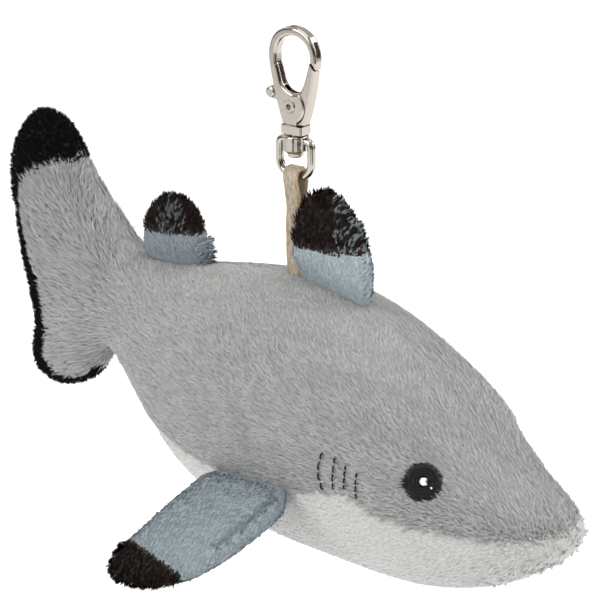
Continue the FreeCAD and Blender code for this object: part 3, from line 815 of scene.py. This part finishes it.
def seam_in_pectoral(fin, axes, table):
    """The upper panel is sewn down a little behind the leading edge; the cloth dips along that line."""
    points = points_of(fin)
    local, _, middle, half = fin_place(points, axes, table)
    dip = 1.6 * bell(seam_behind(local, middle + half), 0.8)
    set_points(fin, points - normals_of(fin) * dip[:, None])
    return fin


def fin_beside_tape(fin, axes, table):
    """The rear edge of the fin lies against the right side of the tape."""
    up = axes[3]
    points = points_of(fin)
    local, place, _, _ = fin_place(points, axes, table)
    share = rising(place, -0.45, -0.35) * rising(local[:, 0], 0, 5)
    share = share * share * (3 - 2 * share)
    move = -0.45 * share * local[:, 2] - 2.7 * share
    set_points(fin, points + np.outer(move, up))
    return fin


def fin_nap(name, cover, axes, table, style):
    """Nap of a printed fin: blue-grey, then brown-black past the printed line, with streaks of blue in it."""
    _, out, chord, _ = axes
    roots, normals = tuft_places(cover, density=2.0)
    local, place, middle, half = fin_place(roots, axes, table)
    keep = local[:, 0] > -0.6
    # No pile along the sewn line, so the cover shows there. Its darker colour is painted shade, on top of the
    # real dip in the cloth.
    if style["sewn_front"]:
        keep &= np.abs(seam_behind(local, middle + half)) > 0.4
    roots, normals, local, place = roots[keep], normals[keep], local[keep], place[keep]
    front = style["front_fringe"] * rising(place, 0.75, 0.15)
    front *= rising(local[:, 0], style["fringe_end"], -3)
    flow = out * style["outward"] + np.outer(style["forward"] + style["fan"] * place + 0.8 * front, chord)
    flow = flow + 0.16 * np.stack([drift(roots, scale_mm=12, seed=s) for s in (4, 5, 6)], axis=1)
    beyond = local[:, 0] - np.polyval(style["dark_from"], local[:, 1])
    dark = beyond > 0
    chance = style["streak"](place, beyond)
    chance = chance * (1 + 0.8 * drift(roots, scale_mm=3.0, seed=9))
    streaked = dark & (chance > rng.uniform(0.05, 1, len(roots)))
    dark_shade = np.where(streaked, 4, 5 + rng.integers(0, 3, len(roots)))
    shades = np.where(dark, dark_shade, pick_shades(roots, count=4, seed=8))
    tip = 1.3 * rising(local[:, 0], table[-1][0] - 4, 4)
    raised = rising(beyond, 0.3, 1.5)
    at_line = np.clip(1 - np.abs(beyond) / 0.8, 0, 1)
    rim = np.maximum(np.maximum(tip, front), raised * rising(np.abs(place), 0.75, 0.2))
    return plant(name, roots, normals, flow, style["naps"], shades,
                 length=1.35 + 0.3 * raised + 0.7 * rim - 0.5 * at_line,
                 lift=14 + 11 * raised + 16 * rim - 5 * at_line, strands=6, width=0.26, radius=0.42, soft=0.4)


# ---------------- embroidery
def tubes(name, paths, radius_mm, materials, sides=6):
    """Threads: a thin round tube along each path, closed and narrowed at both ends."""
    points, faces = [], []
    for path in paths:
        path = np.asarray(path, float)
        ahead = unit(np.gradient(path, axis=0))
        helper = np.array((0.0, 0.0, 1.0)) if abs(ahead[0, 2]) < 0.9 else np.array((1.0, 0.0, 0.0))
        a = unit(np.cross(ahead, helper))
        b = np.cross(ahead, a)
        start = len(points)
        last = len(path) - 1
        for i, centre in enumerate(path):
            girth = radius_mm * (0.35 if i in (0, last) else 1.0)
            for k in range(sides):
                angle = ROUND * k / sides
                points.append(centre + girth * (a[i] * math.cos(angle) + b[i] * math.sin(angle)))
        for i in range(last):
            for k in range(sides):
                m = (k + 1) % sides
                low, high = start + i * sides, start + (i + 1) * sides
                faces.append((low + k, low + m, high + m, high + k))
        faces.append(tuple(start + k for k in reversed(range(sides))))
        faces.append(tuple(start + last * sides + k for k in range(sides)))
    return make_object(name, points, faces, materials)


def surface_finder(objects):
    """Casts a ray at the covers and gives the place and normal it meets, in millimetres."""
    points, faces = [], []
    for obj in objects:
        shift = len(points)
        points.extend(points_of(obj).tolist())
        faces.extend(tuple(v + shift for v in face.vertices) for face in obj.data.polygons)
    tree = BVHTree.FromPolygons(points, faces)

    def find(start, way):
        place, normal, _, _ = tree.ray_cast(Vector(start), Vector(way))
        if place is None:
            raise RuntimeError("nothing to sew on there")
        return np.array(place), np.array(normal)

    return find


def eye_frame(find, side):
    """Centre, outward, forward and upward at an eye; side is -1 for the right."""
    eye_x, eye_z = EYES[side]
    centre, _ = find((eye_x, side * BESIDE, eye_z), (0, -side, 0))
    ring = []
    for angle in np.linspace(0, ROUND, 8, endpoint=False):
        x, z = eye_x + 3 * math.cos(angle), eye_z + 3 * math.sin(angle)
        ring.append(find((x, side * BESIDE, z), (0, -side, 0))[1])
    out = unit(np.sum(ring, axis=0))
    upward = unit(np.array((0.0, 0.0, 1.0)) - out * out[2])
    return centre, out, np.cross(upward, out) * -side, upward


def stitched_on(find, frame_axes, a, b, height):
    """A place on the eye's cloth, at a and b from its middle and a height above."""
    centre, out, ahead, upward = frame_axes
    above = centre + ahead * a + upward * b + out * 12      # well clear of the cloth
    place, _ = find(above, -out)
    return place + out * height


def eye_pieces(find, side, label, thread, white):
    """Radial satin stitches with a ragged rim, rings of thread over them, and white highlights."""
    axes = eye_frame(find, side)

    def at(r, angle, height):
        return stitched_on(find, axes, r * math.cos(angle), r * math.sin(angle), height)

    radial = []
    for k in range(EYE_STITCHES):
        angle = ROUND * k / EYE_STITCHES + rng.normal(0, 0.02)
        ragged = EYE_R + rng.uniform(-0.15, 0.3)
        stitch = ((0.9, 0.8), (2.2, 0.9), (3.4, 0.8), (4.3, 0.55), (ragged, 0.2))
        radial.append([at(r, angle, height) for r, height in stitch])
    for k in range(4):
        angle = math.pi + 0.12 * (k - 1.5)
        stray = ((3.6, 0.9), (4.6, 0.8), (5.6 + 0.2 * k, 0.8))
        radial.append([at(r, angle, height) for r, height in stray])
    rings = []
    for r in (0.5, 1.1, 1.7, 2.3, 2.9, 3.5):
        turns = np.linspace(0, ROUND, 28)
        rings.append([at(r + 0.1 * math.sin(3 * angle + r * 5), angle, 1.2 - 0.05 * r) for angle in turns])
    glints = []
    for k in range(8):
        ends = (-0.95 + rng.uniform(-0.3, 0.3), 0.75 + rng.uniform(-0.3, 0.3))
        stitch = ((ends[0], 1.2), (0.0, 1.45), (ends[1], 1.2))
        glints.append([stitched_on(find, axes, a, -0.75 + 0.22 * k, height) for a, height in stitch])
    for k in range(2):
        stitch = ((1.5, 1.2), (1.75, 1.4), (2.0, 1.2))
        glints.append([stitched_on(find, axes, a, -1.75 + 0.25 * k, height) for a, height in stitch])
    base = tubes("eye_stitches_" + label, radial, 0.19, [thread])
    ring_piece = tubes("eye_rings_" + label, rings, 0.2, [thread])
    glint_piece = tubes("eye_highlight_" + label, glints, 0.13, [white])
    for piece in (base, ring_piece, glint_piece):
        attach(piece, "torso")
    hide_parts("eye_" + label)
    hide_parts("eye_" + label)
    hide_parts("eye_glint_" + label)


GILLS = [
    [(31.1, -87.8), (30.7, -92.6), (32.2, -96.9)],
    [(34.6, -88.5), (34.7, -92.4), (35.0, -96.1)],
    [(37.7, -89.9), (37.8, -92.7), (38.0, -95.5)],
    [(40.8, -91.2), (41.0, -94.2), (41.5, -97.2)],
]


def gill_pieces(find, side, label, thread):
    """Four dashed rows of backstitch."""
    paths = []
    for row in GILLS:
        line = smooth_rows(row, 12)
        for first in (0, 6, 12, 18):
            dash = line[first:first + 6]
            path = []
            for i, (x, z) in enumerate(dash):
                place, normal = find((x, side * BESIDE, z), (0, -side, 0))
                height = 0.45 + 0.6 * math.sin(math.pi * i / (len(dash) - 1))
                path.append(place + normal * height)
            paths.append(path)
    made = tubes("gills_" + label, paths, 0.24, [thread])
    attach(made, "torso")
    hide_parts("gill_stitches_" + label)


# ---------------- tape and clasp
def tape_path():
    """Middle line of the tape, across the shark: up one strand, over the ring's bar, and down the other."""
    eye_z = -30.6
    turn = 1.5 + TAPE_HALF_THICK
    strand = 0.15 + TAPE_HALF_THICK
    side = [(-strand, -58.5), (-strand, -52.0), (-strand, -46.0), (-strand - 0.05, -41.0),
            (-strand - 0.2, -37.6), (-1.5, -34.4), (-turn, -31.2)]
    over = [(turn * math.cos(a), eye_z + turn * math.sin(a)) for a in np.linspace(math.pi, 0, 7)[1:-1]]
    return smooth_rows(side + over + [(-y, z) for y, z in reversed(side)], 5)


def tape_piece(cotton):
    """Woven cotton tape: a ribbed section carried along its path, a little wavy as sewn."""
    path = tape_path()
    ahead = unit(np.gradient(path, axis=0))
    outward = np.stack([-ahead[:, 1], ahead[:, 0]], axis=1)
    count = 64
    angles = np.linspace(0, ROUND, count, endpoint=False)
    wide = TAPE_HALF_WIDE * np.sign(np.cos(angles)) * np.abs(np.cos(angles)) ** 0.55
    thick = TAPE_HALF_THICK * np.sign(np.sin(angles)) * np.abs(np.sin(angles)) ** 0.5
    ribs = 0.09 * np.cos(wide / TAPE_HALF_WIDE * math.pi * 5.5)
    thick = thick + ribs * np.sign(thick)
    rings = []
    length = np.concatenate([[0], np.cumsum(np.linalg.norm(np.diff(path, axis=0), axis=1))])
    for i, (y, z) in enumerate(path):
        narrow = 1 + 0.03 * math.sin(length[i] * 0.9) - 0.10 * math.exp(-((z + 57) / 3) ** 2)
        x = wide * narrow + 0.12 * math.sin(length[i] * 0.35)
        depth = thick * (1 + 0.06 * np.sin(length[i] * 2.3 + wide * 2))
        rings.append(np.stack([x, y + depth * outward[i, 0], z + depth * outward[i, 1]], axis=1))
    tape = make_object("tape", *loft(rings), [cotton])
    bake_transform(tape)
    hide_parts("strap_tape")
    return tape


def cotton_material():
    """Unbleached cotton with fine warp ribs, faint weft, and a warmer tint at its edges."""
    made, shader = material("cotton", (0.30, 0.25, 0.19), 0.9, sheen=0.15)
    place = add_node(made, "TexCoord")
    stretch = add_node(made, "Mapping", {"Scale": (1900, 1400, 700)})
    noise = add_node(made, "TexNoise", {"Scale": 1.0, "Detail": 5})
    join(made, place, "Object", stretch, "Vector")
    join(made, stretch, "Vector", noise, "Vector")
    split = add_node(made, "SeparateXYZ")
    away = add_node(made, "Math", operation="ABSOLUTE")
    edge = add_node(made, "MapRange", {"From Min": 1.3 * MM, "From Max": 2.3 * MM})
    join(made, place, "Object", split, "Vector")
    join(made, split, "X", away, 0)
    join(made, away, "Value", edge, "Value")
    plain = add_node(made, "Mix", data_type="RGBA")
    plain.inputs["A"].default_value = (0.20, 0.165, 0.12, 1)
    plain.inputs["B"].default_value = (0.37, 0.31, 0.235, 1)
    thread = add_node(made, "MapRange", {"From Min": 0.36, "From Max": 0.64})
    join(made, noise, "Fac", thread, "Value")
    join(made, thread, "Result", plain, "Factor")
    tinted = add_node(made, "Mix", data_type="RGBA")
    tinted.inputs["B"].default_value = (0.36, 0.20, 0.08, 1)
    scaled = add_node(made, "Math", {1: 0.5}, operation="MULTIPLY")
    join(made, edge, "Result", scaled, 0)
    join(made, scaled, "Value", tinted, "Factor")
    join(made, plain, "Result", tinted, "A")
    join(made, tinted, "Result", shader, "Base Color")
    bump_by(made, shader, noise, strength=0.7, depth_mm=0.15)
    return made


def nickel_material():
    """Polished nickel plate over a die casting: bright, faintly uneven."""
    made, shader = material("nickel", (0.365, 0.335, 0.297), 0.12, metallic=1.0)
    noise = add_noise(made, 260, 2)
    rough_by(made, shader, noise, 0.05, 0.14)
    bump_by(made, shader, add_noise(made, 180, 2), strength=0.16, depth_mm=0.3)
    return made


def dress_clasp():
    """Nickel on the clasp's CAD solids, and a wire coil for the gate's spring."""
    nickel = nickel_material()
    wire, shader = material("spring_wire", (0.5, 0.5, 0.5), 0.3, metallic=1.0)
    rough_by(wire, shader, add_noise(wire, 400), 0.22, 0.4)
    for name in ("hook_body", "gate_lever", "gate_pivot_rivet", "swivel_rivet", "swivel_ring"):
        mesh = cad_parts[name].data
        mesh.materials.clear()
        mesh.materials.append(nickel)
    gate_coil(wire)


def gate_coil(wire):
    """Compression coil under the gate lever's heel. The real one shortens as the gate opens; this one is
    built at one length.
    """
    foot = np.array((-2.9, 0.0, -16.95))
    radius, wire_r, length, turns = 0.42, 0.15, 2.1, 4
    path = []
    for share in np.linspace(0, 1, 24 * turns + 1):
        angle = ROUND * turns * share
        rise = wire_r + (length - 2 * wire_r) * share
        path.append(foot + (radius * math.cos(angle), radius * math.sin(angle), rise))
    coil = tubes("gate_coil", [path], wire_r, [wire], sides=8)
    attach(coil, "hook")
    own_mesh(coil)
    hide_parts("gate_spring")


# ---------------- studio
FLOOR_Z = -0.3           # metres, as everything in the studio: well below the hanging toy
LIGHTS = [
    ("key", (-0.28, -0.88, 0.42), 0.7, 8.9),
    ("fill", (1.0, -0.25, 0.2), 0.8, 4.5),
    ("rim", (0.7, 0.8, 0.45), 0.8, 10.0),
    ("top", (0.0, 0.1, 1.0), 0.8, 4.0),
    ("back", (-0.95, 0.35, 0.35), 0.8, 2.5),
]
LIT = Vector((0, 0, -0.08))                     # the lights point at the toy's middle
# Dark cards that only the polished metal reflects: bearings in degrees, and heights.
FLAGS = ((-44, -2, -0.5, 0.6), (-86, -66, -0.5, 0.6), (36, 61, -0.12, 0.5))
CAMERA_PLACE = Vector((0.52688, -0.67450, 0.21642))
CAMERA_AIM = Vector((-0.0001, 0.0, -0.0617))
CAMERA_LENS = 219.3      # millimetres, on a sensor 36 wide


def card(name, corners, paint):
    """One flat face."""
    mesh = bpy.data.meshes.new(name)
    mesh.from_pydata(corners, [], [(0, 1, 2, 3)])
    mesh.materials.append(paint)
    return placed(name, mesh)


def pointed(obj, place, aim):
    """An object at a place, looking at another."""
    obj.location = place
    obj.rotation_euler = (aim - Vector(place)).to_track_quat("-Z", "Y").to_euler()


def room():
    """Plain pale floor, and a background that is dark low down and bright above."""
    paint, shader = material("floor_paint", (0.95, 0.95, 0.95), 0.9)
    shader.inputs["Emission Color"].default_value = (1, 1, 1, 1)
    shader.inputs["Emission Strength"].default_value = 0.12
    floor = card("floor", [(x, y, FLOOR_Z) for x, y in ((-8, -8), (8, -8), (8, 8), (-8, 8))], paint)
    world = bpy.data.worlds.new("studio")
    world.use_nodes = True
    background = world.node_tree.nodes["Background"]
    background.inputs["Strength"].default_value = 1.0
    direction = add_node(world, "TexCoord")
    height = add_node(world, "SeparateXYZ")
    ramp = add_node(world, "ValToRGB")
    low, high = ramp.color_ramp.elements
    low.position, low.color = 0.18, (0.08, 0.08, 0.085, 1)
    high.position, high.color = 0.40, (0.85, 0.85, 0.85, 1)
    join(world, direction, "Generated", height, "Vector")
    join(world, height, "Z", ramp, "Fac")
    join(world, ramp, "Color", background, "Color")
    bpy.context.scene.world = world


def lamps():
    for name, place, size, power in LIGHTS:
        lamp = bpy.data.lights.new(name, "AREA")
        lamp.size = size
        lamp.energy = power
        pointed(placed(name, lamp), place, LIT)


def flags():
    flag_paint, _ = material("flag_paint", (0.03, 0.02, 0.014), 0.9)
    for first, last, low, high in FLAGS:
        corners = []
        for bearing, height in ((first, low), (last, low), (last, high), (first, high)):
            corners.append((math.cos(math.radians(bearing)), math.sin(math.radians(bearing)), height))
        flag = card("flag", corners, flag_paint)
        flag.visible_camera = False
        flag.visible_diffuse = False
        flag.visible_shadow = False


def studio():
    """Room, lights, dark cards and the camera."""
    room()
    lamps()
    flags()
    camera = bpy.data.cameras.new("camera")
    camera.lens = CAMERA_LENS
    camera.sensor_width = 36
    camera.clip_end = 20
    seen = placed("camera", camera)
    pointed(seen, CAMERA_PLACE, CAMERA_AIM)
    bpy.context.scene.camera = seen
    bpy.context.scene.view_settings.view_transform = "Standard"


# ---------------- the whole toy
def build_body():
    """Covers and nap of trunk and tail."""
    body = body_cover()
    centres, _, _ = face_data(body)
    parts = {
        # The grey and white covers are set darker than their pile. This is painted shade between the strands,
        # where the pile shadows its own roots.
        0: ("grey_cover", cover_material("grey_cloth", shade(GREY, 0.8))),
        1: ("white_cover", cover_material("white_cloth", shade(WHITE, 0.88))),
        2: ("tail_tip_cover", cover_material("black_cloth", BLACK)),
        3: ("tail_band_cover", cover_material("band_cloth", BLACK)),
    }
    covers = split_cover(body, body_region(centres), parts)
    naps = body_nap(covers)
    nodes = {
        "grey_cover": ("side_panel_right", "side_panel_left", "tail_panel_right", "tail_panel_left",
                       "body_filling", "tail_filling"),
        "white_cover": ("belly_panel",),
        "tail_tip_cover": ("tail_tip_cap",),
        "tail_band_cover": ("tail_edge_band",),
        "grey_nap_trunk_right": ("side_panel_right",),
        "grey_nap_trunk_left": ("side_panel_left",),
        "grey_nap_tail_right": ("tail_panel_right",),
        "grey_nap_tail_left": ("tail_panel_left",),
        "belly_nap": ("belly_panel",),
        "tail_tip_nap": ("tail_tip_cap",),
        "tail_band_nap": ("tail_edge_band",),
    }
    find = surface_finder(covers.values())
    for name, piece in {**covers, **naps}.items():
        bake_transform(piece)
        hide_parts(*nodes[name])
    return find


def build_fin(label, axes, table, style, nodes, shaped=None):
    """One fin's cover and nap."""
    cover = fin_cover(label + "_cover", axes, table)
    print_on_cloth(cover, axes, table, style)
    if shaped:
        shaped(cover, axes, table)
    nap = fin_nap(label + "_nap", cover, axes, table, style)
    for piece in (cover, nap):
        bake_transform(piece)
        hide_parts(*nodes)


def build_dorsal(label, root, slope_degrees, table, style, shaped=None):
    nodes = [label + "_left_panel", label + "_right_panel", label + "_filling"]
    build_fin(label, fin_frame_dorsal(root, slope_degrees), table, style, nodes, shaped)


def fin_naps(name, blue):
    """Four blue-greys, a streak, and three brown-blacks."""
    plain = nap_materials(name + "_blue", blue, 0.09)
    streak = nap_materials(name + "_streak", shade(blue, 0.45), 0.1, 2)[:1]
    return plain + streak + nap_materials(name + "_dark", DARK, 0.5, 3, sheen=0.0)


def build_fins():
    dark_cloth = cover_material("dark_cloth", DARK)
    pectoral = {
        "dark_cloth": dark_cloth,
        # The cloth is set darker than its pile. This is painted shade between the strands.
        "cloth": cover_material("pectoral_cloth", shade(PECTORAL_BLUE, 0.8)),
        "naps": fin_naps("pectoral", PECTORAL_BLUE),
        "outward": 1.0, "forward": 0.55, "fan": 0.0,
        "front_fringe": 0.0, "fringe_end": 0.0, "sewn_front": True,
        "dark_from": (-0.008, 0.24, 33.6),      # the printed line: how far out, by place along the chord
        "streak": lambda place, beyond: np.zeros(len(place)),
    }
    for side, label in ((-1, "right"), (1, "left")):
        build_fin("pectoral_" + label, fin_frame_pectoral(side), PECTORAL, pectoral,
                  ["pectoral_upper_" + label, "pectoral_lower_" + label, "pectoral_filling_" + label],
                  seam_in_pectoral)
    first = {
        "dark_cloth": dark_cloth,
        # The cloth is set darker than its pile. This is painted shade between the strands.
        "cloth": cover_material("dorsal_cloth", shade(DORSAL_BLUE, 0.8)),
        "naps": fin_naps("first", DORSAL_BLUE),
        "outward": 1.0, "forward": 0.0, "fan": 0.45,
        "front_fringe": 0.5, "fringe_end": 25.0, "sewn_front": False,
        "dark_from": (0.26, 9.2),
        "streak": lambda place, beyond: np.clip((place - 0.05) * 1.1, 0, 0.42),
    }
    build_dorsal("first_dorsal", (12.0, 0.0, -56.4), 11.4, FIRST_DORSAL, first, fin_beside_tape)
    # The cloth is set darker than its pile. This is painted shade between the strands.
    second = dict(first, cloth=cover_material("second_cloth", shade(SECOND_BLUE, 0.8)),
                  naps=fin_naps("second", SECOND_BLUE), dark_from=(0.1, 6.3),
                  front_fringe=2.4, fringe_end=8.0,
                  streak=lambda place, beyond: np.clip(0.6 - 0.9 * np.abs(place - 0.12), 0, 0.45))
    build_dorsal("second_dorsal", (-38.7, 0.0, -58.6), 0.0, SECOND_DORSAL, second)


def build_face(find):
    thread, shader = material("black_thread", (0.0035, 0.0032, 0.004), 0.5)
    shader.inputs["Specular IOR Level"].default_value = 0.25
    rough_by(thread, shader, add_noise(thread, 1500), 0.35, 0.6)
    white, shader = material("white_thread", (0.85, 0.85, 0.87), 0.5)
    rough_by(white, shader, add_noise(white, 1500), 0.4, 0.6)
    for side, label in ((-1, "right"), (1, "left")):
        eye_pieces(find, side, label, thread, white)
        gill_pieces(find, side, label, thread)


studio()
dress_clasp()
build_face(build_body())
build_fins()
tape_piece(cotton_material())
